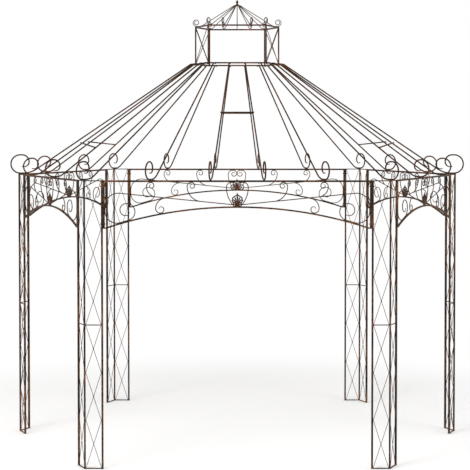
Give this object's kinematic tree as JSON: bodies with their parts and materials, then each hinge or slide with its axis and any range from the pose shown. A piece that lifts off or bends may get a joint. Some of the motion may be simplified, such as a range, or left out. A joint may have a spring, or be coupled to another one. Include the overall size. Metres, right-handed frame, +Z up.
{
  "type": "wrought iron garden pergola",
  "caption": "Open garden pavilion of bent iron rods with lattice posts, arched scrollwork friezes, a conical rod roof ending in volutes and a small open lantern.",
  "frame": {"origin": "middle of the plan at ground level, under the lantern", "axes": "+Z up, +Y from the front face to the back face, +X to the right along the long diagonal"},
  "size_m": [3.8716, 3.0888, 3.691],
  "materials": {
    "post_iron": "patinated brown, satin",
    "frame_iron": "patinated brown, satin",
    "scroll_iron": "patinated brown, satin",
    "cast_palmettes": "rubbed rust brown",
    "roof_iron": "patinated brown, satin",
    "lantern_iron": "patinated brown, satin"
  },
  "bodies": {
    "root": {"back_arch_frame": "frame_iron", "back_arch_scrollwork": "scroll_iron", "back_left_arch_frame": "frame_iron", "back_left_arch_scrollwork": "scroll_iron", "back_left_palmette": "cast_palmettes", "back_left_post_frame": "post_iron", "back_left_post_lattice": "post_iron", "back_left_rafters": "roof_iron", "back_palmette": "cast_palmettes", "back_rafters": "roof_iron", "back_right_arch_frame": "frame_iron", "back_right_arch_scrollwork": "scroll_iron", "back_right_palmette": "cast_palmettes", "back_right_post_frame": "post_iron", "back_right_post_lattice": "post_iron", "back_right_rafters": "roof_iron", "corner_rafters": "roof_iron", "finial": "lantern_iron", "front_arch_frame": "frame_iron", "front_arch_scrollwork": "scroll_iron", "front_left_arch_frame": "frame_iron", "front_left_arch_scrollwork": "scroll_iron", "front_left_palmette": "cast_palmettes", "front_left_post_frame": "post_iron", "front_left_post_lattice": "post_iron", "front_left_rafters": "roof_iron", "front_palmette": "cast_palmettes", "front_rafters": "roof_iron", "front_right_arch_frame": "frame_iron", "front_right_arch_scrollwork": "scroll_iron", "front_right_palmette": "cast_palmettes", "front_right_post_frame": "post_iron", "front_right_post_lattice": "post_iron", "front_right_rafters": "roof_iron", "lantern_base_ring": "lantern_iron", "lantern_braces": "lantern_iron", "lantern_hub": "lantern_iron", "lantern_posts": "lantern_iron", "lantern_roof_rods": "lantern_iron", "lantern_top_rail": "lantern_iron", "left_post_frame": "post_iron", "left_post_lattice": "post_iron", "right_post_frame": "post_iron", "right_post_lattice": "post_iron", "roof_crossbars": "roof_iron"}
  },
  "joints": []
}
